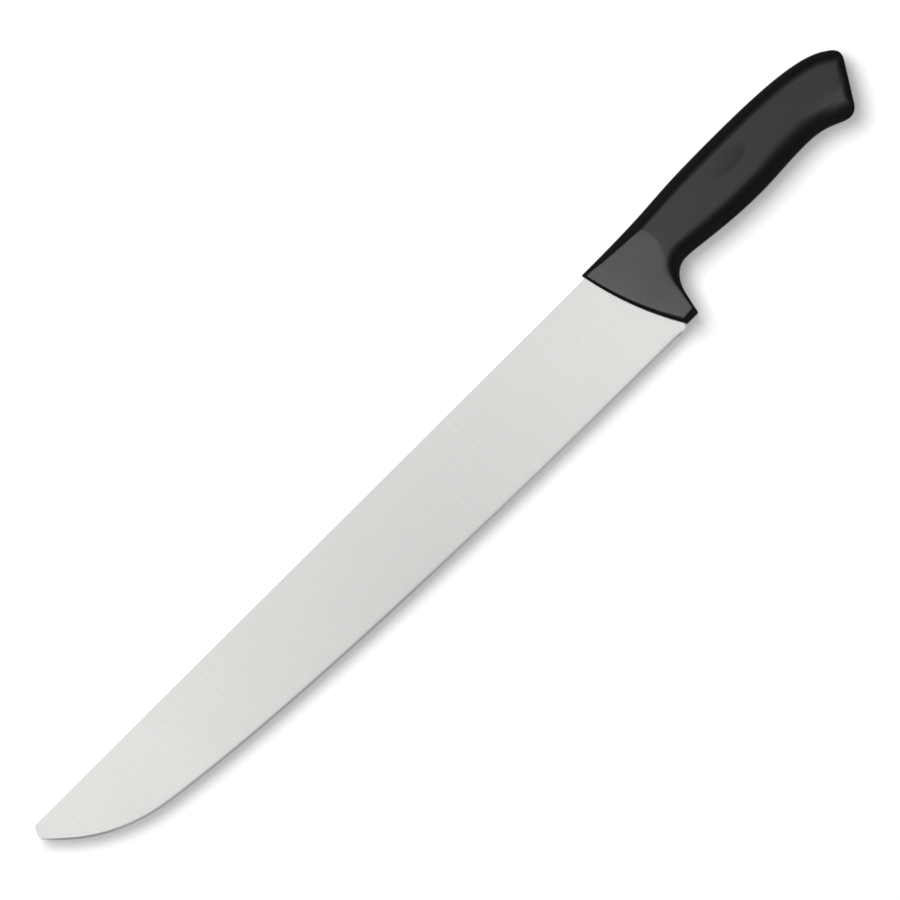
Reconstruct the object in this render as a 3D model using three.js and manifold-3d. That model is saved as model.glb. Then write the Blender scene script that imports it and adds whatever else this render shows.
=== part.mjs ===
// Long butcher knife: a flat-ground steel blade with its tang, and the plastic handle moulded round the tang.
// Millimetres. The knife is drawn with x from the handle's front towards the butt, y = 0 along the straight
// spine and negative towards the cutting edge, and z through the thickness, 0 in the middle of the sheet.
import * as THREE from 'three';
import { mergeVertices } from 'three/addons/utils/BufferGeometryUtils.js';
import Module from 'manifold-3d';

const wasm = await Module();
wasm.setup();

// Blade
const bladeLength = 342.15; // handle front to tip, along the spine
const bladeDepth = 46.8; // spine to cutting edge at the heel
const stockThickness = 3; // sheet as rolled, left full on the tang
const tipThickness = 1.8; // spine at the tip
const edgeThickness = 0.4; // thinnest place behind the honed bevel
const edgeBevel = 1.1; // width of the honed bevel
const edgeLand = 0.06; // flat left on the honed edge itself
const heelLead = 1.5; // heel's corner ahead of the handle's front
const heelLean = 5.6; // hidden back end of the blade, further back at the spine than at the heel
const straightRun = 95; // nearly straight edge ahead of the heel
const bellyFromTip = 53.95; // where the edge turns up towards the tip
const bellyLift = 12.4; // what the edge has climbed there from the heel's level
const bellyRun = 78; // reach of the gentle curve behind that turn
const bellyRise = 10.6; // what the edge climbs over that reach
const tipRun = 34.9; // reach of the curve ahead of that turn
const tipRise = 43.6; // degrees that the edge climbs as it comes to the nose
const noseRun = 5.6; // reach of the curve behind the nose
const noseDepth = 5.4; // furthest point of the blunt nose, below the spine
const noseBack = 3.1; // spine's end behind that point
const noseRound = 1.8; // reach of the rounded corner at that point
const noseEase = 0.3; // chamfer round the blunt nose

// Tang and the plastic pillars that lock it
const tangWidth = 17; // at its root
const tangEndWidth = 12;
const tangFromSpine = 4; // steel set down below the line of the spine
const tangCover = 3.1; // plastic ahead of the root of the full-thickness tang
const tangEndCover = 30; // plastic behind the end of the tang
const lockHoleRadius = 3.5;
const lockHoleFirst = 45; // first hole behind the handle's front
const lockHolePitch = 26;
const lockHoleToEnd = 15; // least steel between a hole's middle and the end of the tang
const mouldGap = 0.3; // between steel and plastic

// Handle's thickness, from flank to flank
const gripThickness = 20;
const frontThickness = 14; // across the cheeks at the handle's front
const cheekLength = 34; // front to the crease where the cheeks meet the grip
const crownRadius = 220; // of the flanks, across the grip
const crownDepth = 9; // crest of the crown below the spine line
const lipChamfer = 0.9; // 45 degree chamfer of the front at the spine, wider where the cheeks are thicker

// Handle's front and finger guard
const frontRadius = 140.5; // plan curve of the front
const footFront = 17.7; // front corner of the guard's foot behind the front at the spine
const footLength = 6.8;
const footAboveEdge = 1.1; // foot of the guard above the line of the cutting edge
const guardLean = 12.2; // degrees that the guard's back leans
const throatAt = 38.3; // under the index finger, behind the front
const throatDepth = 24.7;
const throatDrop = 11.3; // finger curve, from the throat down to the guard's straight back

// Handle's back, butt and hooked pommel
const gripLength = 148.4; // handle front at the spine to the far corner of the butt
const spineStep = 1.9; // handle above the blade's spine at the front
const crestRise = 4.4; // highest place of the back
const crestFromButt = 65.1;
const shoulderFromButt = 4.9; // where the back turns into the butt
const shoulderDepth = 3.1;
const shoulderFall = 33; // degrees that the back falls there
const backRun = 11.3; // reach of the back's curve ahead of the shoulder
const cornerRun = 4.3; // reach of the far corner's curve behind the shoulder
const buttRun = 6.4; // reach of that curve from the straight butt
const buttLead = 1.4; // top of the straight butt ahead of the far corner
const buttDepth = 13; // top of the straight butt below the spine line
const buttSlant = 31.8; // degrees off square
const pommelDepth = 33; // corner that the hook of the pommel is rounded from
const pommelRise = 4.7; // lower end of the straight butt above that corner
const hookReach = 7.7; // end of the rounded corner ahead of the straight butt
const hookRise = 1.4; // and above the corner
const hookRun = 5.5; // reach of the curve ahead of it
const neckFromButt = 39; // slim place behind the palm swell
const neckDepth = 26.7;
const palmFromButt = 68.7; // palm swell
const palmDepth = 27.8;

// Long curves of the rim run level at these places, for this share of the way to the next place
const fingerEase = 0.56;
const throatEase = 0.14;
const palmFrontEase = 0.45;
const palmBackEase = 0.37;
const neckFrontEase = 0.36;
const neckBackEase = 0.6;
const crestBackEase = 0.5;
const crestFrontEase = 0.55;
const frontEase = 0.62;

// Rounding from the flanks to the upright rim: height and widths
const rimHeight = 4.8; // upright middle of the rim
const creaseRise = 0.4; // top of the rounding above the flank, which leaves a soft crease
const backRound = 5.2;
const guardRound = 2.6;
const fingerRound = 5.3;
const throatRound = 6.6;
const palmRound = 7.6;
const neckRound = 8.8;
const pommelRound = 4.8;
const buttRound = 4;
const cornerShare = 0.85; // widest rounding, against the radius of the corner that it goes round
const cornerTurn = 0.5; // sharper turns than this between two points are plain corners
const roundGrowth = 0.5; // how fast a rounding may widen along the rim

// Shallow finger scoop on each flank
const scoopFromButt = 69;
const scoopBelowSpine = 8.1;
const scoopLength = 23;
const scoopWidth = 8;
const scoopDepth = 0.2;
const scoopRoundness = 1.2; // height of the scoop's full ellipsoid

// Fineness
const curveSteps = 14;
const edgeSteps = 48;
const noseSteps = 4;
const roundSteps = 6;
const crownSteps = 21; // odd, so that a flat strip lies along the crest of the crown
const frontSteps = 240;
const scoopSteps = 20;
const weld = 1e-4; // points closer than this are one

const { cos, sin, tan, sqrt } = Math;
const { clamp, degToRad, lerp } = THREE.MathUtils;
const at = (x, y) => new THREE.Vector2(x, y);
const half = gripThickness / 2;
const lip = frontThickness / 2 - lipChamfer;
const past = gripThickness; // rough shapes run this far past the faces that cut them
const guardDepth = bladeDepth - footAboveEdge;
const footEnd = footFront + footLength;
const leanSlope = tan(degToRad(guardLean));

// The plan curve of the front runs from the spine to the front corner of the guard's foot.
const frontChord = at(footFront, -guardDepth);
const frontCentre = at(guardDepth, footFront)
  .setLength(sqrt(frontRadius ** 2 - frontChord.lengthSq() / 4))
  .addScaledVector(frontChord, 1 / 2);
const frontAt = (y) => frontCentre.x - sqrt(frontRadius ** 2 - (y - frontCentre.y) ** 2);

// Closed skin through a stack of matching rings, capped at both ends. The rings run anticlockwise as seen
// from the stack's far end, and flatten gives their points as seen from there.
function loft(rings, flatten) {
  const count = rings[0].length;
  const last = (rings.length - 1) * count;
  const index = [];
  for (let ring = 0; ring < last; ring += count) {
    for (let i = 0; i < count; i++) {
      const a = ring + i;
      const b = ring + ((i + 1) % count);
      index.push(a, b, b + count, a, b + count, a + count);
    }
  }
  for (const [a, b, c] of THREE.ShapeUtils.triangulateShape(rings[0].map(flatten), [])) {
    index.push(c, b, a);
  }
  for (const [a, b, c] of THREE.ShapeUtils.triangulateShape(rings.at(-1).map(flatten), [])) {
    index.push(last + a, last + b, last + c);
  }
  return new THREE.BufferGeometry().setFromPoints(rings.flat()).setIndex(index);
}

// A closed geometry as a solid that can be joined and cut.
function solid(geometry) {
  const bare = geometry.clone();
  bare.deleteAttribute('normal');
  bare.deleteAttribute('uv');
  const merged = mergeVertices(bare, weld);
  return new wasm.Manifold(
    new wasm.Mesh({
      numProp: 3,
      vertProperties: new Float32Array(merged.attributes.position.array),
      triVerts: new Uint32Array(merged.index.array),
    }),
  );
}

function meshOf(shape, name, material) {
  const { vertProperties, triVerts } = shape.getMesh();
  const geometry = new THREE.BufferGeometry();
  geometry.setAttribute('position', new THREE.BufferAttribute(vertProperties, 3));
  geometry.setIndex(new THREE.BufferAttribute(triVerts, 1));
  geometry.computeVertexNormals();
  const mesh = new THREE.Mesh(geometry, material);
  mesh.name = name;
  return mesh;
}

// Straight bar of a section that is given by its upper half and is the same below z = 0. Each point of the
// section is a place across the bar and a height.
function bar(upper, length) {
  const lower = upper.map((p) => at(p.x, -p.y)).reverse();
  const section = new THREE.Shape([...upper, ...lower]);
  return new THREE.ExtrudeGeometry(section, { depth: length, bevelEnabled: false });
}

function barAlongX(upper, from, to) {
  const turn = new THREE.Matrix4().makeBasis(
    new THREE.Vector3(0, 1, 0),
    new THREE.Vector3(0, 0, 1),
    new THREE.Vector3(1, 0, 0),
  );
  return solid(bar(upper, to - from).applyMatrix4(turn).translate(from, 0, 0));
}

function barAlongY(upper, from, to) {
  return solid(bar(upper, to - from).rotateX(Math.PI / 2).translate(0, to, 0));
}

// Smooth swell between two places where a line runs level.
function swell(from, to, leave, arrive) {
  const leaving = at(lerp(from.x, to.x, leave), from.y);
  const arriving = at(lerp(to.x, from.x, arrive), to.y);
  return new THREE.CubicBezierCurve(from, leaving, arriving, to);
}

// Cutting edge from heel to nose, the nose's corner and its blunt end up to the spine, each with its number
// of steps and the place along the spine that it reaches.
function edgeLines(heel) {
  const belly = at(-bladeLength + bellyFromTip, -bladeDepth + bellyLift);
  const bellyClimb = at(-bellyRun, bellyRise);
  const tipClimb = at(-cos(degToRad(tipRise)), sin(degToRad(tipRise)));
  const tip = at(-bladeLength, -noseDepth);
  const noseLow = tip.clone().addScaledVector(tipClimb, -noseRound);
  const noseTop = at(-bladeLength + noseBack, 0);
  const noseHigh = tip.clone().add(noseTop.clone().sub(tip).setLength(noseRound));
  const edge = new THREE.CubicBezierCurve(
    heel,
    at(heel.x - straightRun, heel.y),
    belly.clone().sub(bellyClimb),
    belly,
  );
  const turn = new THREE.CubicBezierCurve(
    belly,
    belly.clone().add(bellyClimb.clone().setLength(tipRun)),
    noseLow.clone().addScaledVector(tipClimb, -noseRun),
    noseLow,
  );
  const spineEnd = noseTop.x + noseEase;
  return [
    [edge, edgeSteps, belly.x],
    [turn, curveSteps, spineEnd + noseBack],
    [new THREE.QuadraticBezierCurve(noseLow, tip, noseHigh), noseSteps, spineEnd + noseBack / 2],
    [new THREE.LineCurve(noseHigh, noseTop), noseSteps, spineEnd],
  ];
}

// Ground blade. Its flanks are two flat planes that thin towards the edge and towards the tip, tilted until
// the thinnest place behind the bevel is edgeThickness. grow makes the larger copy that hollows the handle.
function bladeBody(grow) {
  const heel = at(frontAt(-bladeDepth) - heelLead, -bladeDepth);
  const ribs = [];
  let spineX = heel.x + heelLean;
  for (const [curve, steps, spineTo] of edgeLines(heel)) {
    for (let i = 0; i < steps; i++) {
      const along = curve.getTangent(i / steps);
      ribs.push({
        edge: curve.getPoint(i / steps),
        inward: at(along.y, -along.x),
        spine: at(lerp(spineX, spineTo, i / steps), 0),
      });
    }
    spineX = spineTo;
  }
  const taper = (stockThickness - tipThickness) / 2 / bladeLength;
  const spineHalf = (x) => stockThickness / 2 + taper * Math.min(x, 0);
  const honedRibs = ribs.filter(({ edge }) => -edge.y > noseDepth);
  const grind = Math.min(...honedRibs.map(({ edge }) => (spineHalf(edge.x) - edgeThickness / 2) / -edge.y));
  const halfAt = (p) => spineHalf(p.x) + grind * p.y;
  const rings = ribs.map(({ edge, inward, spine }, i) => {
    const honed = clamp((-edge.y - noseDepth) / noseDepth, 0, 1);
    const shoulder = edge.clone().addScaledVector(inward, lerp(noseEase, edgeBevel, honed));
    const land = lerp(halfAt(edge) - noseEase, edgeLand / 2, honed);
    const back = i === 0 ? grow : 0;
    const rim = [
      [spine.x + back, grow, halfAt(spine) + grow],
      [shoulder.x + back, shoulder.y - grow, halfAt(shoulder) + grow],
      [edge.x + back, edge.y - 2 * grow, land + grow],
    ];
    const lower = rim.map(([x, y, z]) => new THREE.Vector3(x, y, -z));
    const upper = rim.map(([x, y, z]) => new THREE.Vector3(x, y, z)).reverse();
    return [...lower, ...upper];
  });
  return solid(loft(rings, (p) => at(-p.y, p.z)));
}

// Full-thickness tang, tapered to a round end, with its lock holes along its middle.
function tang(grow) {
  const top = -tangFromSpine;
  const start = frontAt(top - tangWidth) + tangCover;
  const end = gripLength - tangEndCover;
  const round = tangEndWidth / 2 + grow;
  const roundAt = end - tangEndWidth / 2;
  const middle = (x) => top - lerp(tangWidth, tangEndWidth, (x - start) / (roundAt - start)) / 2;
  const shape = new THREE.Shape();
  shape.moveTo(start - grow, top - tangWidth - grow);
  shape.lineTo(roundAt, top - tangEndWidth - grow);
  shape.absarc(roundAt, top - tangEndWidth / 2, round, -Math.PI / 2, Math.PI / 2, false);
  shape.lineTo(start - grow, top + grow);
  shape.closePath();
  for (let x = lockHoleFirst; x <= end - lockHoleToEnd; x += lockHolePitch) {
    const hole = new THREE.Path();
    hole.absarc(x, middle(x), lockHoleRadius - grow, 0, 2 * Math.PI, true);
    shape.holes.push(hole);
  }
  const depth = stockThickness + 2 * grow;
  const plate = new THREE.ExtrudeGeometry(shape, { depth, bevelEnabled: false, curveSegments: curveSteps });
  return solid(plate.translate(0, 0, -depth / 2));
}

// Rim of the handle in plan, anticlockwise, as curves with the width of the rounding at each curve's two
// ends. In front and under the guard it runs past the finished shape, which the front and the foot then cut.
function handleRim() {
  const lean = at(leanSlope, 1).normalize();
  const drop = Math.min(throatDrop, cornerShare * (guardDepth - throatDepth));
  const guardTop = at(footEnd + (guardDepth - throatDepth - drop) * leanSlope, -throatDepth - drop);
  const guardLow = at(footEnd - past * leanSlope, -guardDepth - past);
  const throat = at(throatAt, -throatDepth);
  const palm = at(gripLength - palmFromButt, -palmDepth);
  const neck = at(gripLength - neckFromButt, -neckDepth);
  const buttLine = at(tan(degToRad(buttSlant)), 1);
  const buttTop = at(gripLength - buttLead, -buttDepth);
  const buttLow = buttTop.clone().addScaledVector(buttLine, buttDepth + pommelRise - pommelDepth);
  const corner = buttLow.clone().addScaledVector(buttLine, -pommelRise);
  const hook = at(buttLow.x - hookReach, -pommelDepth + hookRise);
  const hookLine = hook.clone().sub(corner);
  const shoulder = at(gripLength - shoulderFromButt, -shoulderDepth);
  const fall = at(cos(degToRad(shoulderFall)), -sin(degToRad(shoulderFall)));
  const crest = at(gripLength - crestFromButt, crestRise);
  const front = at(0, spineStep);
  const roughTop = at(-past, spineStep);
  const roughLow = at(-past, guardLow.y);
  const finger = new THREE.CubicBezierCurve(
    guardTop,
    guardTop.clone().addScaledVector(lean, fingerEase * drop),
    at(lerp(throat.x, guardTop.x, fingerEase), throat.y),
    throat,
  );
  const underPommel = new THREE.CubicBezierCurve(
    neck,
    at(lerp(neck.x, hook.x, neckBackEase), neck.y),
    hook.clone().add(hookLine.setLength(hookRun)),
    hook,
  );
  const farCorner = new THREE.CubicBezierCurve(
    buttTop,
    buttTop.clone().add(buttLine.clone().setLength(buttRun)),
    shoulder.clone().addScaledVector(fall, cornerRun),
    shoulder,
  );
  const backFall = new THREE.CubicBezierCurve(
    shoulder,
    shoulder.clone().addScaledVector(fall, -backRun),
    at(lerp(crest.x, shoulder.x, crestBackEase), crest.y),
    crest,
  );
  return [
    [new THREE.LineCurve(roughLow, guardLow), guardRound, guardRound],
    [new THREE.LineCurve(guardLow, guardTop), guardRound, fingerRound],
    [finger, fingerRound, throatRound],
    [swell(throat, palm, throatEase, palmFrontEase), throatRound, palmRound],
    [swell(palm, neck, palmBackEase, neckFrontEase), palmRound, neckRound],
    [underPommel, neckRound, pommelRound],
    [new THREE.QuadraticBezierCurve(hook, corner, buttLow), pommelRound, buttRound],
    [new THREE.LineCurve(buttLow, buttTop), buttRound, buttRound],
    [farCorner, buttRound, buttRound],
    [backFall, buttRound, backRound],
    [swell(crest, front, crestFrontEase, frontEase), backRound, backRound],
    [new THREE.LineCurve(front, roughTop), backRound, backRound],
    [new THREE.LineCurve(roughTop, roughLow), backRound, backRound],
  ];
}

// A rounding can't be wider than the corner that it goes round, and it widens again gently to either side.
function fitRounding(samples) {
  const count = samples.length;
  const step = (a, b) => samples[a % count].point.distanceTo(samples[b % count].point);
  samples.forEach((sample, i) => {
    const next = samples[(i + 1) % count];
    const turn = sample.along.cross(next.along);
    const radius = turn > 0 && turn < cornerTurn ? step(i, i + 1) / turn : Infinity;
    sample.round = Math.min(sample.round, cornerShare * radius);
  });
  for (let i = 0; i < 2 * count; i++) {
    const onward = samples[(i + 1) % count];
    onward.round = Math.min(onward.round, samples[i % count].round + roundGrowth * step(i, i + 1));
  }
  for (let i = 2 * count; i > 0; i--) {
    const back = samples[(i - 1) % count];
    back.round = Math.min(back.round, samples[i % count].round + roundGrowth * step(i, i - 1));
  }
}

// Rounded body of the handle: its rim stands upright in the middle and turns in to flat flanks on both sides.
// It is a little too thick, so that the crown and the cheeks cut all of both flanks.
function handleBody() {
  const samples = [];
  for (const [curve, fromRound, toRound] of handleRim()) {
    const steps = curve.isLineCurve ? 1 : curveSteps;
    for (let i = 0; i < steps; i++) {
      const along = curve.getTangent(i / steps);
      samples.push({
        point: curve.getPoint(i / steps),
        along,
        inward: at(-along.y, along.x),
        round: lerp(fromRound, toRound, i / steps),
      });
    }
  }
  fitRounding(samples);
  const rimTop = rimHeight / 2;
  const ringAt = (turn, side) => {
    const z = side * lerp(rimTop, half + creaseRise, sin(turn));
    return samples.map(({ point, inward, round }) => {
      const p = point.clone().addScaledVector(inward, round * (1 - cos(turn)));
      return new THREE.Vector3(p.x, p.y, z);
    });
  };
  const turns = Array.from({ length: roundSteps + 1 }, (_, i) => ((Math.PI / 2) * i) / roundSteps);
  const rings = [...turns.map((t) => ringAt(t, -1)).reverse(), ...turns.map((t) => ringAt(t, 1))];
  return solid(loft(rings, (p) => at(p.x, p.y)));
}

// Crowned flanks of the grip. Ahead of the finger curve the guard stays uncrowned.
function flanks() {
  const crownFrom = footEnd + (guardDepth - throatDepth) * leanSlope;
  const reach = pommelDepth - crownDepth + past;
  const crown = [];
  for (let i = 0; i <= crownSteps; i++) {
    const y = lerp(reach, -reach, i / crownSteps);
    crown.push(at(-crownDepth + y, half - crownRadius + sqrt(crownRadius ** 2 - y ** 2)));
  }
  const grip = barAlongX(crown, crownFrom - past, gripLength + past);
  const wide = guardDepth + 2 * past;
  const ahead = barAlongX([at(wide, half + past), at(-wide, half + past)], -2 * past, crownFrom);
  return grip.add(ahead);
}

// Flat cheeks that thin the handle towards the blade.
function cheeks() {
  const slope = (half - frontThickness / 2) / cheekLength;
  const far = gripLength + past;
  const upper = [at(far, frontThickness / 2 + slope * far), at(-past, frontThickness / 2 - slope * past)];
  return barAlongY(upper, -guardDepth - 2 * past, crestRise + 2 * past);
}

// Handle's front, a curve in plan with chamfered upper and lower edges.
function front() {
  const high = half + past;
  const inner = frontRadius - (high - lip);
  const lower = [at(0, -high), at(inner, -high), at(frontRadius, -lip)];
  const upper = [at(frontRadius, lip), at(inner, high), at(0, high)];
  const disc = new THREE.LatheGeometry([...lower, ...upper], frontSteps).rotateX(Math.PI / 2);
  return solid(disc.translate(frontCentre.x, frontCentre.y, 0));
}

// Foot of the guard, flat in the middle with the same chamfers as the front.
function foot() {
  const high = half + past;
  const chamferTop = -guardDepth + high - lip;
  const upper = [at(crestRise + past, high), at(chamferTop, high), at(-guardDepth, lip)];
  return barAlongX(upper, -2 * past, gripLength + past);
}

// Long shallow hollow of the scoop on one side.
function scoop(side) {
  const reach = scoopRoundness - scoopDepth;
  const spread = scoopRoundness / sqrt(scoopRoundness ** 2 - reach ** 2);
  const ball = new THREE.SphereGeometry(1, 2 * scoopSteps, scoopSteps);
  ball.scale((spread * scoopLength) / 2, (spread * scoopWidth) / 2, scoopRoundness);
  return solid(ball.translate(gripLength - scoopFromButt, -scoopBelowSpine, side * (half + reach)));
}

const steel = new THREE.MeshStandardMaterial({ color: 0xd3d4d2, roughness: 0.3, metalness: 1 });
const plastic = new THREE.MeshStandardMaterial({ color: 0x2a2a2a, roughness: 0.5, metalness: 0 });

const bladeSolid = bladeBody(0).add(tang(0));
const handleSolid = handleBody()
  .intersect(flanks())
  .intersect(cheeks())
  .intersect(front())
  .intersect(foot())
  .subtract(scoop(1))
  .subtract(scoop(-1))
  .subtract(bladeBody(mouldGap).add(tang(mouldGap)));

// The finished knife lies on its side with the middle of its underside at the origin.
const knife = new THREE.Group();
knife.add(meshOf(bladeSolid, 'blade', steel));
knife.add(meshOf(handleSolid, 'handle', plastic));
const box = new THREE.Box3().setFromObject(knife);
const middle = box.getCenter(new THREE.Vector3());
knife.position.set(-middle.x, -middle.y, -box.min.z);

const part = new THREE.Group();
part.add(knife);
export default part;
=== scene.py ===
import math
import bpy
import bmesh
import numpy as np
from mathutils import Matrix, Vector
from mathutils.geometry import delaunay_2d_cdt


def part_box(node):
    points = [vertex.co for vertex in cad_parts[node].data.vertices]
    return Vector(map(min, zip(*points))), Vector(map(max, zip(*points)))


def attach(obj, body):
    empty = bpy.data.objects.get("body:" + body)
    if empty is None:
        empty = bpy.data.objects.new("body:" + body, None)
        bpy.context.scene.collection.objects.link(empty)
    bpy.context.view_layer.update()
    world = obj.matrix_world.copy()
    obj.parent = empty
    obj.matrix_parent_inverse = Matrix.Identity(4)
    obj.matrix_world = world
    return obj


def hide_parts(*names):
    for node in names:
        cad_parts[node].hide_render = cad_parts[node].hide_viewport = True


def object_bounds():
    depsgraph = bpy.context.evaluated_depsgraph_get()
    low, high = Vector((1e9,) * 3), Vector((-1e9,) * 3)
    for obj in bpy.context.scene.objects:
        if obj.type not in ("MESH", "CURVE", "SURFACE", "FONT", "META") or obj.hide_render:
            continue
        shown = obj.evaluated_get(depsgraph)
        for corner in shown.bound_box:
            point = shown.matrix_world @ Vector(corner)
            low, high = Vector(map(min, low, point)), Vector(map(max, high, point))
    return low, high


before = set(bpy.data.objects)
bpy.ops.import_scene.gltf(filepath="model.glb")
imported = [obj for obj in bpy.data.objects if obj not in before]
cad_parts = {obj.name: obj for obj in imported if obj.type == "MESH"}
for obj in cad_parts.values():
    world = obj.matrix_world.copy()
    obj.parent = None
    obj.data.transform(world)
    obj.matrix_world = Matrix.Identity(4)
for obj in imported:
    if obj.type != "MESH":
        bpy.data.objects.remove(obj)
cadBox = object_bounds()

# long butcher knife lying on its side, drawn in millimetres: x from the handle's front to the butt,
# y = 0 along the spine and negative towards the cutting edge, z = 0 in the middle of the blade's sheet
mm = 0.001
print("knife loaded, box", [[round(v, 4) for v in corner] for corner in cadBox])


def inFrame(points):
    return np.asarray(points, float) * mm + origin


def bezier(controls, steps):
    t = (np.arange(steps) / steps)[:, None]
    layer = [np.array(p, float)[None, :] + 0 * t for p in controls]
    while len(layer) > 1:
        layer = [a + (b - a) * t for a, b in zip(layer, layer[1:])]
    return layer[0]


def lengthOf(controls):
    return float(np.sum(np.linalg.norm(np.diff(np.array(controls, float), axis=0), axis=1)))


def unit(v):
    v = np.asarray(v, float)
    return v / np.linalg.norm(v)


def softMin(a, b, soft):
    h = np.clip(0.5 + 0.5 * (b - a) / soft, 0, 1)
    return b + (a - b) * h - soft * h * (1 - h)


def smooth(low, high, value):
    t = np.clip((value - low) / (high - low), 0, 1)
    return t * t * (3 - 2 * t)


# distance to a line of points, and the line's own values at the nearest place
def nearest(points, line, values):
    atOnce = 1500
    a, b = line[:-1], line[1:]
    along = b - a
    span = np.maximum(np.sum(along * along, axis=1), 1e-12)
    far, value = [], []
    for part in np.array_split(points, max(1, len(points) // atOnce)):
        gap = part[:, None, :] - a[None]
        t = np.clip(np.sum(gap * along, axis=2) / span, 0, 1)
        off = np.linalg.norm(gap - t[..., None] * along, axis=2)
        i = np.argmin(off, axis=1)
        row = np.arange(len(part))
        far.append(off[row, i])
        value.append(values[i] + (values[i + 1] - values[i]) * t[row, i][:, None])
    return np.concatenate(far), np.vstack(value)


def insideLoop(points, loop):
    a, b = loop, np.roll(loop, -1, axis=0)
    x, y = points[:, :1], points[:, 1:]
    crosses = (a[:, 1] > y) != (b[:, 1] > y)
    rise = np.where(np.abs(b[:, 1] - a[:, 1]) < 1e-9, 1e-9, b[:, 1] - a[:, 1])
    return np.sum(crosses & (x < a[:, 0] + (y - a[:, 1]) / rise * (b[:, 0] - a[:, 0])), axis=1) % 2 == 1


# quads between closed rings that have as many points each
def ringFaces(rings, across):
    faces = []
    for i in range(rings - 1):
        for j in range(across):
            k = (j + 1) % across
            faces.append((i * across + j, i * across + k, (i + 1) * across + k, (i + 1) * across + j))
    return faces


def addObject(name, data):
    thing = bpy.data.objects.new(name, data)
    bpy.context.scene.collection.objects.link(thing)
    return thing


def addMesh(name, points, faces, node):
    mesh = bpy.data.meshes.new(name)
    mesh.from_pydata(inFrame(points).tolist(), [], faces)
    work = bmesh.new()
    work.from_mesh(mesh)
    bmesh.ops.recalc_face_normals(work, faces=work.faces)
    work.to_mesh(mesh)
    work.free()
    mesh.shade_smooth()
    piece = addObject(name, mesh)
    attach(piece, "root")
    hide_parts(node)
    return piece


# handle

handle = dict(
    # thickness
    half=10.0, frontHalf=7.0, cheekLength=34, cheekDome=0.1,
    crownRadius=220, crownDepth=9, crownReach=14,
    swellRadius=2600, swellAt=62, flare=0.0010, flareFrom=110, flareDepth=(14, 22),
    # front and finger guard
    frontRadius=140.5, footFront=17.7, footLength=6.8, guardDepth=45.7, guardLean=12.2,
    throatAt=38.3, throatDepth=24.7, throatDrop=11.3,
    # back, butt and hook
    gripLength=148.4, spineStep=1.9, crestRise=4.4, crestFromButt=65.1,
    shoulderFromButt=4.9, shoulderDepth=3.1, shoulderFall=33, backRun=11.3, cornerRun=4.3,
    buttRun=6.4, buttLead=1.4, buttDepth=13, buttSlant=31.8, pommelDepth=33, pommelRise=4.7,
    hookReach=7.7, hookRise=1.4, hookRun=5.5,
    neckFromButt=39, neckDepth=26.7, palmFromButt=68.7, palmDepth=27.8,
    # how long the curves run level at their ends
    fingerEase=0.56, throatEase=0.14, palmFrontEase=0.45, palmBackEase=0.37, neckFrontEase=0.36,
    neckBackEase=0.6, crestBackEase=0.5, crestFrontEase=0.55, frontEase=0.62,
    # rounded band between flank and rim: its width, and the radius that turns it into the flank
    guardBand=(1.6, 1.5), fingerBand=(1.9, 2), throatBand=(8.3, 9), palmBand=(9.2, 10),
    neckBand=(10.4, 15), hookBand=(9.7, 14), buttBand=(4.4, 7), farBand=(6.3, 8),
    backBand=(6.0, 6.5), frontBand=(4.9, 2.5), bandBlend=6, bandSlope=36, rimRadius=0.8,
    # rounded lip of front and foot, as wide as the cheek stands above this height
    lip=5.6, lipTurn=0.55, footMore=0.1, footTurn=1.2, cornerCut=0.6,
    # crease behind the cheeks, softer below this depth, and the parting line
    creaseSoft=0.02, creaseFade=0.16, creaseFrom=8, partingWidth=0.2, partingProud=0.05,
    # sheen worn along the band under the pommel
    rubPast=0.4, rubWide=1.8, rubFrom=(108, 128), rubAbove=3,
    # mesh: rows across the band lie closer at the rim
    spacing=0.5, cell=0.6, cellApart=0.35, rimApart=0.45, gridFrom=-2, past=20,
    frontPoints=96, cornerSteps=5, cornerShare=0.85, roundGrowth=0.5, lipMargin=0.9, bandMargin=0.6,
    bandRows=(0.015, 0.04, 0.075, 0.115, 0.16, 0.22, 0.29, 0.37,
              0.45, 0.53, 0.61, 0.69, 0.77, 0.85, 0.92, 1.0),
    wallRows=(0.4, 0.7, 1), creaseRows=(-0.5, 0, 0.5),
)
# thumb mark: a flush matt patch that grows towards one side
scoop = dict(
    fromButt=68.6, belowSpine=7.7, length=24.7, width=10, matt=1.8, toward=-50, least=0.35, step=2.3,
    rows=(0.1, 0.6, 1.1, 1.6, 2.1), steps=121,
)
flip = np.array([1, 1, -1])  # top to underside

# plan curve of the handle's front, from the spine to the guard's foot
chord = np.array([handle["footFront"], -handle["guardDepth"]])
frontMiddle = chord / 2 + unit([handle["guardDepth"], handle["footFront"]]) * math.sqrt(
    handle["frontRadius"] ** 2 - chord @ chord / 4)

# the cheeks climb from the front to the crest of the crown at the crease
creaseHalf = handle["half"] - (handle["cheekLength"] - handle["swellAt"]) ** 2 / 2 / handle["swellRadius"]
cheekSlope = (creaseHalf - handle["frontHalf"]) / handle["cheekLength"]


def frontAt(y):
    return frontMiddle[0] - np.sqrt(handle["frontRadius"] ** 2 - (y - frontMiddle[1]) ** 2)


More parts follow.
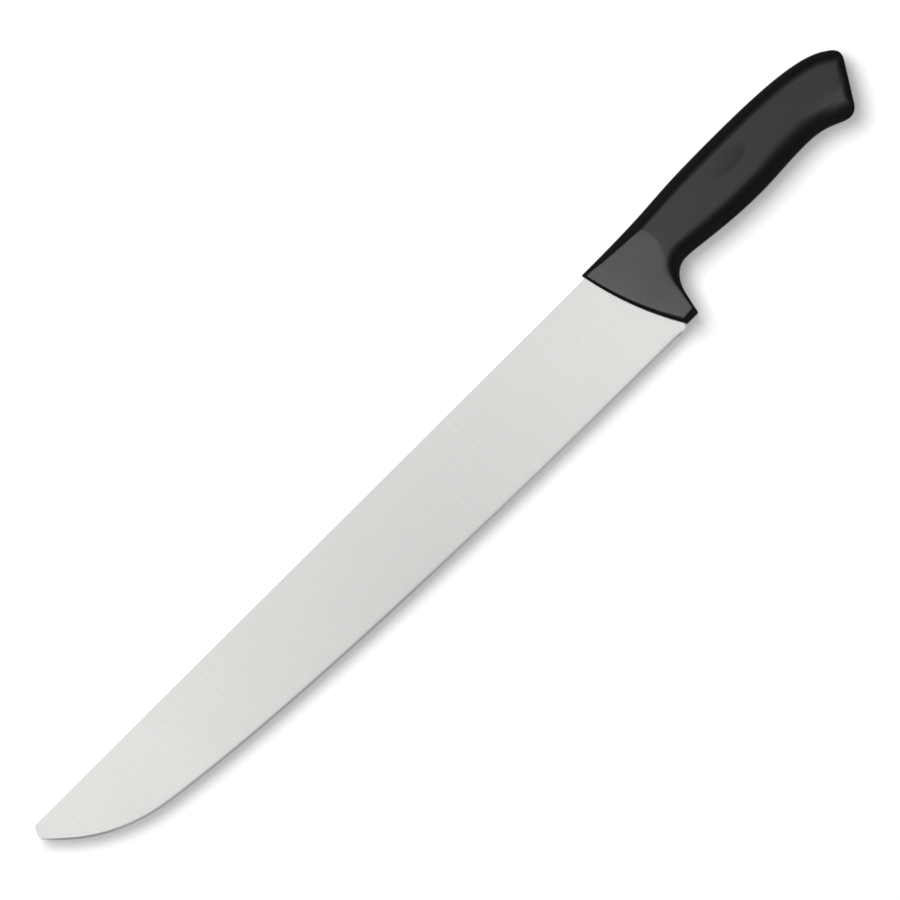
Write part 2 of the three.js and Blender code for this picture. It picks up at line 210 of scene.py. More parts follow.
# rim of the handle in plan, from below the guard round the butt to ahead of the front
def handleRim():
    h = handle
    lean = math.tan(math.radians(h["guardLean"]))
    footEnd = h["footFront"] + h["footLength"]
    wide = h["guardDepth"] - h["throatDepth"] - h["throatDrop"]
    guardTop = np.array([footEnd + wide * lean, -h["throatDepth"] - h["throatDrop"]])
    guardLow = np.array([footEnd - h["past"] * lean, -h["guardDepth"] - h["past"]])
    throat = np.array([h["throatAt"], -h["throatDepth"]])
    palm = np.array([h["gripLength"] - h["palmFromButt"], -h["palmDepth"]])
    neck = np.array([h["gripLength"] - h["neckFromButt"], -h["neckDepth"]])
    buttLine = np.array([math.tan(math.radians(h["buttSlant"])), 1.0])
    buttTop = np.array([h["gripLength"] - h["buttLead"], -h["buttDepth"]])
    buttLow = buttTop + buttLine * (h["buttDepth"] + h["pommelRise"] - h["pommelDepth"])
    corner = buttLow - buttLine * h["pommelRise"]
    hook = np.array([buttLow[0] - h["hookReach"], -h["pommelDepth"] + h["hookRise"]])
    shoulder = np.array([h["gripLength"] - h["shoulderFromButt"], -h["shoulderDepth"]])
    fallTurn = math.radians(h["shoulderFall"])
    fall = np.array([math.cos(fallTurn), -math.sin(fallTurn)])
    crest = np.array([h["gripLength"] - h["crestFromButt"], h["crestRise"]])
    front = np.array([0.0, h["spineStep"]])

    def swell(a, b, leave, arrive):
        return [a, (a[0] + (b[0] - a[0]) * leave, a[1]), (b[0] + (a[0] - b[0]) * arrive, b[1]), b]

    finger = [guardTop, guardTop + unit([lean, 1]) * h["fingerEase"] * h["throatDrop"],
              (throat[0] + (guardTop[0] - throat[0]) * h["fingerEase"], throat[1]), throat]
    underPommel = [neck, (neck[0] + (hook[0] - neck[0]) * h["neckBackEase"], neck[1]),
                   hook + unit(hook - corner) * h["hookRun"], hook]
    farCorner = [buttTop, buttTop + unit(buttLine) * h["buttRun"],
                 shoulder + fall * h["cornerRun"], shoulder]
    backFall = [shoulder, shoulder - fall * h["backRun"],
                (crest[0] + (shoulder[0] - crest[0]) * h["crestBackEase"], crest[1]), crest]
    under = [
        ([guardLow, guardTop], h["guardBand"], h["fingerBand"]),
        (finger, h["fingerBand"], h["throatBand"]),
        (swell(throat, palm, h["throatEase"], h["palmFrontEase"]), h["throatBand"], h["palmBand"]),
        (swell(palm, neck, h["palmBackEase"], h["neckFrontEase"]), h["palmBand"], h["neckBand"]),
        (underPommel, h["neckBand"], h["hookBand"]),
    ]
    butt = [
        ([hook, corner, buttLow], h["hookBand"], h["buttBand"]),
        ([buttLow, buttTop], h["buttBand"], h["buttBand"]),
        (farCorner, h["buttBand"], h["farBand"]),
    ]
    back = [
        (backFall, h["farBand"], h["backBand"]),
        (swell(crest, front, h["crestFrontEase"], h["frontEase"]), h["backBand"], h["frontBand"]),
        ([front, front - [h["past"], 0]], h["frontBand"], h["frontBand"]),
    ]
    # the bands run on straight past the two corners of the butt
    past = buttLine * h["past"]
    hookOn = ([hook, hook + unit(corner - hook) * h["past"]], h["hookBand"], h["hookBand"])
    buttOn = ([corner - past, buttTop + past], h["buttBand"], h["buttBand"])
    backOn = ([shoulder + fall * h["past"], shoulder], h["farBand"], h["farBand"])
    lines = [sampled(under + [hookOn]), sampled([buttOn]), sampled([backOn] + back)]
    return sampled(under + butt + back), lines


# points along a row of curves, with the band's width and radius at each
def sampled(curves):
    points, bands = [], []
    for controls, fromBand, toBand in curves:
        steps = math.ceil(lengthOf(controls) / handle["spacing"])
        share = smooth(0, steps, np.arange(steps))[:, None]
        points.append(bezier(controls, steps))
        bands.append(np.array(fromBand) + (np.array(toBand) - np.array(fromBand)) * share)
    points.append(np.array(curves[-1][0][-1], float)[None])
    bands.append(np.array(curves[-1][2], float)[None])
    return np.vstack(points), np.vstack(bands)


# drop of a rounded band below the flank: an arc, an even slope, a tighter arc down to the rim
def bandDrop(d, width, flankR):
    slope = math.radians(handle["bandSlope"])
    rimR = handle["rimRadius"]
    rimRun = rimR * (1 - math.sin(slope))
    flankRun = np.minimum(flankR * math.sin(slope), width - rimRun)
    out = np.clip(width - d, 0, width)
    arc = flankR - np.sqrt(np.maximum(flankR ** 2 - np.minimum(out, flankRun) ** 2, 0))
    even = np.clip(out - flankRun, 0, width - flankRun - rimRun) * math.tan(slope)
    near = np.minimum(np.maximum(d, 0), rimRun)
    rim = rimR * math.cos(slope) - np.sqrt(np.maximum(rimR ** 2 - (rimR - near) ** 2, 0))
    return arc + even + rim


def flankHeight(p):
    h = handle
    off = np.abs(p[:, 1] + h["crownDepth"])
    crown = h["half"] - np.minimum(off, h["crownReach"]) ** 2 / 2 / h["crownRadius"]
    crown = crown - (p[:, 0] - h["swellAt"]) ** 2 / 2 / h["swellRadius"]
    flare = h["flare"] * np.maximum(p[:, 0] - h["flareFrom"], 0) ** 2
    crown = crown + flare * smooth(*h["flareDepth"], -p[:, 1])
    edge = frontAt(np.clip(p[:, 1], -h["guardDepth"], h["spineStep"]))
    share = np.clip((p[:, 0] - edge) / (h["cheekLength"] - edge), 0, 1)
    cheek = h["frontHalf"] + cheekSlope * p[:, 0] + 4 * h["cheekDome"] * share * (1 - share)
    return crown, cheek


def skinHeight(p, lines):
    h = handle
    crown, cheek = flankHeight(p)
    drop = 0
    for line, bands in lines:
        d, band = nearest(p, line, bands)
        drop = drop + bandDrop(d, band[:, 0], band[:, 1]) ** h["bandBlend"]
    z = crown - drop ** (1 / h["bandBlend"])
    faded = smooth(-h["creaseFrom"], -h["throatDepth"], p[:, 1])
    z = softMin(z, cheek, h["creaseSoft"] + (h["creaseFade"] - h["creaseSoft"]) * faded)
    inside = h["frontRadius"] - np.hypot(p[:, 0] - frontMiddle[0], p[:, 1] - frontMiddle[1])
    lip = cheek - h["lip"]
    front = bandDrop(inside, lip, h["lipTurn"] * lip ** 2)
    foot = bandDrop(p[:, 1] + h["guardDepth"], lip + h["footMore"], h["footTurn"])
    return np.minimum(z, cheek - np.maximum(front, foot))


# a ring can't reach further in than the corner that it goes round, and widens gently on either side
def fitReach(points, widths):
    least = 1e-5  # smaller turns are straight
    ahead = np.roll(points, -1, axis=0) - points
    behind = points - np.roll(points, 1, axis=0)
    step = np.linalg.norm(ahead, axis=1)
    swing = behind[:, 0] * ahead[:, 1] - behind[:, 1] * ahead[:, 0]
    turn = np.arctan2(swing, np.sum(behind * ahead, axis=1))
    radius = np.where(turn > least, (step + np.roll(step, 1)) / 2 / np.maximum(turn, least), np.inf)
    widths = np.minimum(widths, handle["cornerShare"] * radius)
    count = len(points)
    for i in range(2 * count):
        a, b = i % count, (i + 1) % count
        widths[b] = min(widths[b], widths[a] + handle["roundGrowth"] * step[a])
    for i in range(2 * count - 1, -1, -1):
        a, b = i % count, (i + 1) % count
        widths[a] = min(widths[a], widths[b] + handle["roundGrowth"] * step[a])
    return widths


# finished outline: foot, rim and front with their three small corners rounded
def handleOutline(side, bands):
    h = handle
    footFront = chord
    footBack = np.array([h["footFront"] + h["footLength"], -h["guardDepth"]])
    frontTop = np.array([frontAt(h["spineStep"]), h["spineStep"]])
    cut, turns = h["cornerCut"], h["cornerSteps"]
    kept = (side[:, 1] > -h["guardDepth"] + cut) & (side[:, 0] > frontTop[0] + cut)
    side, bands = side[kept], bands[kept]
    y = np.linspace(h["spineStep"] - cut, -h["guardDepth"] + cut, h["frontPoints"])
    arc = np.stack([frontAt(y), y], axis=1)
    x = np.arange(footFront[0] + cut, footBack[0] - cut, h["spacing"])
    foot = np.stack([x, 0 * x - h["guardDepth"]], axis=1)
    points = np.vstack([
        foot, bezier([foot[-1], footBack, side[0]], turns)[1:],
        side, bezier([side[-1], frontTop, arc[0]], turns)[1:],
        arc, bezier([arc[-1], footFront, foot[0]], turns)[1:],
    ])
    crown, cheek = flankHeight(points)
    reach = np.minimum(crown, cheek) - h["lip"] + h["lipMargin"]
    first = len(foot) + turns - 1
    reach[first:first + len(side)] = bands[:, 0] + h["bandMargin"]
    return points, fitReach(points, reach)


# rings from the flank of the underside out round the wall and in over the top
def handleRings(loop, reach, lines):
    h = handle
    along = np.roll(loop, -1, axis=0) - np.roll(loop, 1, axis=0)
    along /= np.linalg.norm(along, axis=1)[:, None]
    inward = np.stack([-along[:, 1], along[:, 0]], axis=1)
    upper = []
    for share in h["bandRows"]:
        p = loop + inward * (reach * share)[:, None]
        upper.append(np.column_stack([p, skinHeight(p, lines)]))
    top = skinHeight(loop, lines)
    wall = [np.column_stack([loop, -top * level]) for level in reversed(h["wallRows"])]
    for side, proud in ((-1, 0), (0, 1), (1, 0)):
        p = loop - inward * h["partingProud"] * proud
        wall.append(np.column_stack([p, np.full(len(loop), side * h["partingWidth"])]))
    wall += [np.column_stack([loop, top * level]) for level in h["wallRows"]]
    return [ring * flip for ring in reversed(upper)] + wall + upper


# points of the flank: staggered cells, with rows along the crease and round the thumb mark
def flankCells(inner):
    h = handle
    y = np.arange(-h["guardDepth"], h["crestRise"], h["cell"])
    x = np.arange(h["gridFrom"], h["gripLength"], h["cell"])
    gx, gy = np.meshgrid(x, y)
    gx = gx + (np.arange(len(y)) % 2)[:, None] * h["cell"] / 2
    cells = np.stack([gx.ravel(), gy.ravel()], axis=1)
    off = np.minimum(np.abs(y + h["crownDepth"]), h["crownReach"])
    creaseX = h["cheekLength"] - off ** 2 / 2 / h["crownRadius"] / cheekSlope
    rows = [np.stack([creaseX + shift, y], axis=1) for shift in h["creaseRows"]]
    turns = np.linspace(0, 2 * math.pi, scoop["steps"])
    for inset in scoop["rows"]:
        rows.append(np.stack([
            h["gripLength"] - scoop["fromButt"] + (scoop["length"] / 2 - inset) * np.cos(turns),
            -scoop["belowSpine"] + (scoop["width"] / 2 - inset) * np.sin(turns),
        ], axis=1))
    for row in rows:
        cells = cells[nearest(cells, row, row)[0] > h["cellApart"] * h["cell"]]
    cells = np.vstack([cells, *rows])
    cells = cells[insideLoop(cells, inner)]
    closed = np.vstack([inner, inner[:1]])
    return cells[nearest(cells, closed, closed)[0] > h["rimApart"] * h["cell"]]


def scoopMark(x, y):
    long, wide = scoop["length"] / 2, scoop["width"] / 2
    along = (x - handle["gripLength"] + scoop["fromButt"]) / long
    across = (y + scoop["belowSpine"]) / wide
    q = np.sqrt(along ** 2 + across ** 2) + 1e-9
    within = (1 - q) * q / np.sqrt((along / long) ** 2 + (across / wide) ** 2 + 1e-9)
    toward = math.radians(scoop["toward"])
    ramp = along * math.cos(toward) + across * math.sin(toward)
    grown = scoop["least"] + (1 - scoop["least"]) * smooth(-1, 1, ramp)
    return grown * smooth(0, scoop["step"], within)


# sheen worn into the plastic, less the matt of the thumb mark
def wornSheen(points, lines):
    h = handle
    d, band = nearest(points[:, :2], *lines[0])
    rub = np.exp(-((d - band[:, 0] - h["rubPast"]) / h["rubWide"]) ** 2)
    rub = rub * smooth(*h["rubFrom"], points[:, 0])
    rub = rub - scoop["matt"] * scoopMark(points[:, 0], points[:, 1])
    return np.where(np.abs(points[:, 2]) > h["rubAbove"], rub, 0)


def buildHandle():
    rim, lines = handleRim()
    loop, reach = handleOutline(*rim)
    count = len(loop)
    rings = handleRings(loop, reach, lines)
    faces = ringFaces(len(rings), count)

    # the two flanks close the first and the last ring
    inner = rings[-1][:, :2]
    flat = np.vstack([inner, flankCells(inner)])
    verts, _, tris, source, _, _ = delaunay_2d_cdt(
        [Vector(p) for p in flat.tolist()], [], [list(range(count))], 1, 1e-5)
    filled = np.array([tuple(v) for v in verts])
    raised = np.column_stack([filled, skinHeight(filled, lines)])
    lastRing = (len(rings) - 1) * count
    base = len(rings) * count
    upperIndex, lowerIndex = [], []
    for i, origins in enumerate(source):
        onRing = [j for j in origins if j < count]
        upperIndex.append(lastRing + onRing[0] if onRing else base + i)
        lowerIndex.append(onRing[0] if onRing else base + len(filled) + i)
    points = np.vstack([*rings, raised, raised * flip])
    for tri in tris:
        faces.append(tuple(upperIndex[i] for i in tri))
        faces.append(tuple(lowerIndex[i] for i in reversed(tri)))
    used = np.zeros(len(points), bool)
    for face in faces:
        used[list(face)] = True
    renumber = np.cumsum(used) - 1
    faces = [tuple(int(renumber[i]) for i in face) for face in faces]
    points = points[used]

    piece = addMesh("handleMoulding", points, faces, "handle")
    polish = piece.data.attributes.new("polish", "FLOAT", "POINT")
    polish.data.foreach_set("value", wornSheen(points, lines))
    print("handle built,", len(piece.data.polygons), "faces")
    return piece


# blade

blade = dict(
    length=342.15, depth=46.8, stock=3.0, tip=1.8, behindEdge=0.42, bevel=1.1, land=0.06,
    heelLead=1.5, heelLean=5.6, heelCut=1.8, heelRise=3.0, straightRun=95,
    bellyFromTip=53.95, bellyLift=12.4, bellyRun=78, bellyRise=10.6, tipRun=34.9, tipRise=43.6,
    noseRun=5.6, noseDepth=5.4, noseBack=3.1, noseRound=1.8, noseEase=0.12, spineEase=0.09,
    # honed bevel: its slope along the blade and at the tip, the depths between, its fade at nose and heel
    honeSlope=0.164, tipSlope=0.205, tipDepth=(30, 22), noseFade=(5, 14.5), heelFade=(2, 7),
    shoulderEase=0.12,
    # mesh: ribs along the edge, and rows down from the spine
    heelSteps=3, cutSteps=8, edgeSteps=150, turnSteps=44, noseSteps=10, heelSpine=(1, 3), leastRib=1.5,
    spineRows=(0.0, 0.5), spineTurns=(0, 22.5, 45, 67.5, 90),
    flankRows=(0.003, 0.06, 0.14, 0.25, 0.37, 0.5, 0.62, 0.74, 0.84, 0.92, 0.97),
    bevelRows=(0.12, 0.5, 1.0), sharpTurn=28, lineScale=2,
)


# ribs from the spine down to the edge, heel first, with how far each is honed
def bladeRibs():
    b = blade
    heel = np.array([frontAt(-b["depth"]) - b["heelLead"], -b["depth"]])
    backLine = unit([b["heelLean"], b["depth"]])
    belly = np.array([-b["length"] + b["bellyFromTip"], -b["depth"] + b["bellyLift"]])
    climb = np.array([-b["bellyRun"], b["bellyRise"]])
    rise = math.radians(b["tipRise"])
    tipClimb = np.array([-math.cos(rise), math.sin(rise)])
    tip = np.array([-b["length"], -b["noseDepth"]])
    noseLow = tip - tipClimb * b["noseRound"]
    noseTop = np.array([-b["length"] + b["noseBack"], 0.0])
    noseHigh = tip + unit(noseTop - tip) * b["noseRound"]
    heelBack = heel + backLine * b["heelRise"]
    cutBack = heel + backLine * b["heelCut"]
    cutFront = heel - np.array([b["heelCut"], 0])
    spineEnd = noseTop[0] + b["noseEase"]
    backEnd = heel[0] + b["heelLean"]
    straight = [cutFront, heel - [b["straightRun"], 0], belly - climb, belly]
    upsweep = [belly, belly + unit(climb) * b["tipRun"], noseLow - tipClimb * b["noseRun"], noseLow]
    # each stretch of the edge: its ribs, how far along the spine they go, honed from and to
    lines = [
        ([heelBack, cutBack], b["heelSteps"], backEnd - b["heelSpine"][0], 0, 0),
        ([cutBack, heel, cutFront], b["cutSteps"], backEnd - b["heelSpine"][1], 0, 1),
        (straight, b["edgeSteps"], belly[0], 1, 1),
        (upsweep, b["turnSteps"], spineEnd + b["noseBack"], 1, 1),
        ([noseLow, tip, noseHigh], b["noseSteps"], spineEnd + b["noseBack"] / 2, 1, 0),
        ([noseHigh, noseTop], b["noseSteps"], spineEnd, 0, 0),
    ]
    edge, spine, honed = [], [], []
    spineFrom = backEnd
    for controls, steps, spineTo, honedFrom, honedTo in lines:
        share = np.arange(steps) / steps
        edge.append(bezier(controls, steps))
        spine.append(spineFrom + (spineTo - spineFrom) * share)
        honed.append(honedFrom + (honedTo - honedFrom) * share)
        spineFrom = spineTo
    return np.vstack(edge), np.concatenate(spine), np.concatenate(honed)


# where the drawing lies in the shared frame: its nose and spine on those of the CAD blade
bladeLow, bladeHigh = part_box("blade")
noseX = bladeRibs()[0][:, 0].min()
origin = np.array([bladeLow[0] - noseX * mm, bladeHigh[1], (bladeLow[2] + bladeHigh[2]) / 2])
print("drawing origin", [round(float(v), 5) for v in origin])


# half thickness of the flat-ground sheet, flat from the spine to just behind the edge
def groundHalf(edge):
    b = blade
    taper = (b["stock"] - b["tip"]) / 2 / b["length"]

    def spineHalf(x):
        return b["stock"] / 2 + taper * np.minimum(x, 0)

    deep = edge[-edge[:, 1] > b["noseDepth"]]
    grinds = (spineHalf(deep[:, 0]) - b["behindEdge"] / 2) / -deep[:, 1]
    grind, thinnest = grinds.min(), deep[np.argmin(grinds), 0]
    atHeel = (b["stock"] - b["behindEdge"]) / 2 / b["depth"]

    def halfAt(p):
        slope = grind + (atHeel - grind) * smooth(thinnest, 0, p[:, 0])
        return spineHalf(p[:, 0]) + slope * p[:, 1]

    return halfAt


def buildBlade():
    b = blade
    edge, spineX, honed = bladeRibs()
    halfAt = groundHalf(edge)
    along = np.gradient(edge, axis=0)
    along /= np.linalg.norm(along, axis=1)[:, None]
    inward = np.stack([along[:, 1], -along[:, 0]], axis=1)
    honed = honed * smooth(*b["noseFade"], -edge[:, 1])
    honed = honed * smooth(*b["heelFade"], edge[:, 0].max() - edge[:, 0])

    # shoulder and brink of the honed bevel
    count = len(edge)
    spine = np.stack([spineX, np.zeros(count)], axis=1)
    wide = b["noseEase"] + (b["bevel"] - b["noseEase"]) * honed
    shoulder = edge + inward * wide[:, None]
    thin = halfAt(shoulder)
    blunt = halfAt(edge) - b["noseEase"]
    land = blunt * (1 - honed) + b["land"] / 2 * honed
    slope = b["honeSlope"] + (b["tipSlope"] - b["honeSlope"]) * smooth(*b["tipDepth"], -edge[:, 1])
    brink = np.clip(thin - slope * wide, land, blunt)
    down = shoulder - spine
    ease = b["spineEase"] / np.maximum(np.linalg.norm(down, axis=1), b["leastRib"])

    # one rib's upper half: flat of the spine, its eased edge, the flank, the honed bevel
    rows = []
    for share in b["spineRows"]:
        rows.append((spine, share * (halfAt(spine) - b["spineEase"])))
    for turn in b["spineTurns"]:
        a = math.radians(turn)
        p = spine + down * (ease * (1 - math.cos(a)))[:, None]
        rows.append((p, halfAt(p) - b["spineEase"] * (1 - math.sin(a))))
    for share in b["flankRows"]:
        p = spine + down * (ease + (1 - ease) * share)[:, None]
        rows.append((p, halfAt(p)))
    p = shoulder + inward * b["shoulderEase"]
    rows.append((p, halfAt(p)))
    for share in b["bevelRows"]:
        p = shoulder + (edge - shoulder) * share
        rows.append((p, thin + (brink - thin) * share))
    rows.append((edge, 0 * brink))
    upper = [np.column_stack([p, z]) for p, z in rows]
    lower = [np.column_stack([p, -z]) for p, z in rows[-2:0:-1]]
    rings = np.stack(upper + lower, axis=1)
    across = rings.shape[1]
    faces = ringFaces(count, across)
    faces.append(tuple(range(across)))
    faces.append(tuple(range((count - 1) * across, count * across)))
    piece = addMesh("bladeSteel", rings.reshape(-1, 3), faces, "blade")
    piece.data.set_sharp_from_angle(angle=math.radians(b["sharpTurn"]))

    # flat map that gives the direction of the grinding lines
    lines = piece.data.uv_layers.new(name="grindLines")
    corners = np.zeros(len(piece.data.loops), int)
    piece.data.loops.foreach_get("vertex_index", corners)
    places = np.zeros(len(piece.data.vertices) * 3)
    piece.data.vertices.foreach_get("co", places)
    lines.uv.foreach_set("vector", places.reshape(-1, 3)[corners, :2].ravel() * b["lineScale"])
    print("blade built,", len(piece.data.polygons), "faces")
    return piece


# hidden tang with its lock holes

tang = dict(
    width=17, endWidth=12, fromSpine=4, cover=3.1, end=118.4, holes=(45, 71, 97), holeRadius=3.5,
    endSteps=17, holeSteps=32, joinWithin=0.001, sharpTurn=30,
)


def buildTang():
    t = tang
    top = -t["fromSpine"]
    half = t["endWidth"] / 2
    start = frontAt(top - t["width"]) + t["cover"]
    roundAt = t["end"] - half
    turns = np.linspace(-math.pi / 2, math.pi / 2, t["endSteps"])
    rim = [(start, top - t["width"])]
    rim += [(roundAt + half * math.cos(a), top + half * (math.sin(a) - 1)) for a in turns]
    rim.append((start, top))
    loops = [rim]
    for x in t["holes"]:
        width = t["width"] + (t["endWidth"] - t["width"]) * (x - start) / (roundAt - start)
        loops.append([
            (x + t["holeRadius"] * math.cos(a), top - width / 2 + t["holeRadius"] * math.sin(a))
            for a in np.linspace(0, 2 * math.pi, t["holeSteps"], endpoint=False)
        ])
    curve = bpy.data.curves.new("tang outline", "CURVE")
    curve.dimensions = "2D"
    curve.fill_mode = "BOTH"
    curve.extrude = blade["stock"] / 2 * mm
    for loop in loops:
        spline = curve.splines.new("POLY")
        spline.points.add(len(loop) - 1)
        spline.use_cyclic_u = True
        for point, (x, y) in zip(spline.points, loop):
            point.co = (*inFrame((x, y, 0))[:2], 0, 1)
    draft = addObject("tang draft", curve)
    shaped = draft.evaluated_get(bpy.context.evaluated_depsgraph_get())
    solid = bpy.data.meshes.new_from_object(shaped)
    bpy.data.objects.remove(draft)
    work = bmesh.new()
    work.from_mesh(solid)
    # join the filled faces to the walls
    bmesh.ops.remove_doubles(work, verts=work.verts, dist=t["joinWithin"] * mm)
    work.to_mesh(solid)
    work.free()
    points = np.zeros(len(solid.vertices) * 3)
    solid.vertices.foreach_get("co", points)
    points = (points.reshape(-1, 3) - [origin[0], origin[1], 0]) / mm
    faces = [tuple(f.vertices) for f in solid.polygons]
    piece = addMesh("tangSteel", points, faces, "blade")
    piece.data.set_sharp_from_angle(angle=math.radians(t["sharpTurn"]))
    print("tang built")
    return piece


# materials

noiseLook = dict(rough=0.55, span=(0.3, 0.7))  # most of the noise lies in this span


def newMaterial(name):
    material = bpy.data.materials.new(name)
    material.use_nodes = True
    tree = material.node_tree
    return material, tree, tree.nodes["Principled BSDF"]


def addNode(tree, kind, links=(), **settings):
    node = tree.nodes.new(kind)
    for key, value in settings.items():
        if hasattr(node, key):
            setattr(node, key, value)
        else:
            node.inputs[key].default_value = value
    for socket, source in links:
        tree.links.new(source, node.inputs[socket])
    return node


def noiseAt(tree, place, scale, detail):
    node = addNode(tree, "ShaderNodeTexNoise", [("Vector", place)], Scale=scale, Detail=detail,
                   Roughness=noiseLook["rough"])
    return node.outputs["Fac"]


def rangeOf(tree, value, fromLow, fromHigh, toLow, toHigh):
    node = addNode(tree, "ShaderNodeMapRange", [("Value", value)])
    limits = {"From Min": fromLow, "From Max": fromHigh, "To Min": toLow, "To Max": toHigh}
    for socket, number in limits.items():
        node.inputs[socket].default_value = number
    return node.outputs["Result"]


def mathOf(tree, how, a, b):
    node = addNode(tree, "ShaderNodeMath", operation=how)
    for socket, value in zip(node.inputs, (a, b)):
        if isinstance(value, (int, float)):
            socket.default_value = value
        else:
            tree.links.new(value, socket)
    return node.outputs[0]


def stretched(tree, place, scale):
    return addNode(tree, "ShaderNodeMapping", [("Vector", place)], Scale=scale).outputs["Vector"]


def greyOf(tree, value, dark, light):
    node = addNode(tree, "ShaderNodeValToRGB", [("Fac", value)])
    node.color_ramp.elements[0].color = (*dark, 1)
    node.color_ramp.elements[1].color = (*light, 1)
    return node.outputs["Color"]


def addBump(tree, shader, height, strength, depth):
    bump = addNode(tree, "ShaderNodeBump", [("Height", height)], Strength=strength, Distance=depth * mm)
    tree.links.new(bump.outputs["Normal"], shader.inputs["Normal"])


plastic = dict(
    dark=(0.0030, 0.0030, 0.0030), light=(0.0042, 0.0042, 0.0042), rough=0.29, roughSpread=0.018, ior=1.5,
    grain=5200, grainDetail=3, grainStrength=0.25, grainDepth=0.012, smudge=55, smudgeDetail=4, polish=0.09,
)


def plasticMaterial():
    p = plastic
    material, tree, shader = newMaterial("black moulded plastic")
    place = addNode(tree, "ShaderNodeTexCoord").outputs["Object"]
    grain = noiseAt(tree, place, p["grain"], p["grainDetail"])
    smudge = noiseAt(tree, place, p["smudge"], p["smudgeDetail"])
    finish = addNode(tree, "ShaderNodeAttribute", attribute_name="polish").outputs["Fac"]
    tree.links.new(greyOf(tree, smudge, p["dark"], p["light"]), shader.inputs["Base Color"])
    rough = rangeOf(tree, smudge, *noiseLook["span"], p["rough"] - p["roughSpread"],
                    p["rough"] + p["roughSpread"])
    polish = mathOf(tree, "MULTIPLY", finish, p["polish"])
    tree.links.new(mathOf(tree, "SUBTRACT", rough, polish), shader.inputs["Roughness"])
    addBump(tree, shader, grain, p["grainStrength"], p["grainDepth"])
    shader.inputs["IOR"].default_value = p["ior"]
    return material


steel = dict(
    dark=(0.515, 0.515, 0.503), light=(0.545, 0.545, 0.533), rough=0.17, roughSpread=0.03, stretch=0.2,
    lines=(9000, 160, 160), lineDetail=2, lineStrength=0.3, lineDepth=0.002,
    bands=(900, 12, 12), bandDetail=3, smudge=26, smudgeDetail=3,
    # painted reflection: base colour darker towards the tip and lighter at the heel, and how much of it
    # shows at the spine and at the edge
    paintedReflection=((0, 0.85), (0.04, 0.888), (0.13, 0.905), (0.19, 0.917),
           (0.28, 0.902), (0.62, 0.904), (0.83, 0.975), (1, 1.055)),
    paintedReflectionTop=0.9, paintedReflectionEdge=1.35, paintedReflectionMost=2,
)


# painted reflection: scales the steel's base colour along the blade, more strongly towards the edge
def paintedSteelReflection(tree, place):
    spot = addNode(tree, "ShaderNodeSeparateXYZ", [("Vector", place)]).outputs
    along = rangeOf(tree, spot["X"], bladeLow[0], origin[0], 0, 1)
    deep = rangeOf(tree, spot["Y"], origin[1], bladeLow[1], steel["paintedReflectionTop"], steel["paintedReflectionEdge"])
    paintedReflection = addNode(tree, "ShaderNodeFloatCurve", [("Value", along)])
    curve = paintedReflection.mapping.curves[0]
    paintedReflection.mapping.clip_max_y = steel["paintedReflectionMost"]
    while len(curve.points) < len(steel["paintedReflection"]):
        curve.points.new(0.5, 1)
    for point, (x, y) in zip(curve.points, steel["paintedReflection"]):
        point.location = (x, y)
    paintedReflection.mapping.update()
    change = mathOf(tree, "MULTIPLY", mathOf(tree, "SUBTRACT", paintedReflection.outputs["Value"], 1), deep)
    return mathOf(tree, "ADD", change, 1)


def steelMaterial():
    s = steel
    material, tree, shader = newMaterial("satin ground steel")
    place = addNode(tree, "ShaderNodeTexCoord").outputs["Object"]
    lines = noiseAt(tree, stretched(tree, place, s["lines"]), 1, s["lineDetail"])
    bands = noiseAt(tree, stretched(tree, place, s["bands"]), 1, s["bandDetail"])
    smudge = noiseAt(tree, place, s["smudge"], s["smudgeDetail"])
    mixed = mathOf(tree, "MULTIPLY", mathOf(tree, "ADD", lines, bands), 0.5)
    grey = greyOf(tree, rangeOf(tree, mixed, *noiseLook["span"], 0, 1), s["dark"], s["light"])
    # the grain's grey times the painted reflection tone
    paintedReflectionGrey = addNode(tree, "ShaderNodeVectorMath", [(0, grey), ("Scale", paintedSteelReflection(tree, place))],
                    operation="SCALE")
    tree.links.new(paintedReflectionGrey.outputs["Vector"], shader.inputs["Base Color"])
    rough = rangeOf(tree, smudge, *noiseLook["span"], s["rough"] - s["roughSpread"], s["rough"])
    rough = mathOf(tree, "ADD", rough, mathOf(tree, "MULTIPLY", lines, s["roughSpread"]))
    tree.links.new(rough, shader.inputs["Roughness"])
    addBump(tree, shader, lines, s["lineStrength"], s["lineDepth"])
    tangent = addNode(tree, "ShaderNodeTangent", direction_type="UV_MAP", uv_map="grindLines")
    tree.links.new(tangent.outputs["Tangent"], shader.inputs["Tangent"])
    shader.inputs["Anisotropic"].default_value = s["stretch"]
    shader.inputs["Metallic"].default_value = 1
    return material


# studio

paper = dict(size=30, grey=0.8, rough=0.9, glow=0.24)


def buildFloor():
    half = paper["size"] / 2
    low = cadBox[0][2]
    mesh = bpy.data.meshes.new("floor")
    corners = [(-half, -half, low), (half, -half, low), (half, half, low), (-half, half, low)]
    mesh.from_pydata(corners, [], [(0, 1, 2, 3)])
    floor = addObject("floor", mesh)
    material, tree, shader = newMaterial("pale paper")
    shader.inputs["Base Color"].default_value = (paper["grey"], paper["grey"], paper["grey"], 1)
    shader.inputs["Roughness"].default_value = paper["rough"]
    shader.inputs["Specular IOR Level"].default_value = 0
    shader.inputs["Emission Color"].default_value = (1, 1, 1, 1)
    path = addNode(tree, "ShaderNodeLightPath").outputs
    seen = mathOf(tree, "MAXIMUM", path["Is Camera Ray"], path["Is Glossy Ray"])
    seen = mathOf(tree, "MAXIMUM", seen, path["Is Transmission Ray"])
    glow = mathOf(tree, "MULTIPLY", seen, paper["glow"])
    tree.links.new(glow, shader.inputs["Emission Strength"])
    mesh.materials.append(material)


sky = dict(
    low=0.035,
    # soft lights: lean from overhead towards x and y in degrees, half width, strength
    lobes=[(-3, 0, 19, 1.25), (-16, 0, 6, 7.1), (0, -70, 40, 0.04)],
)


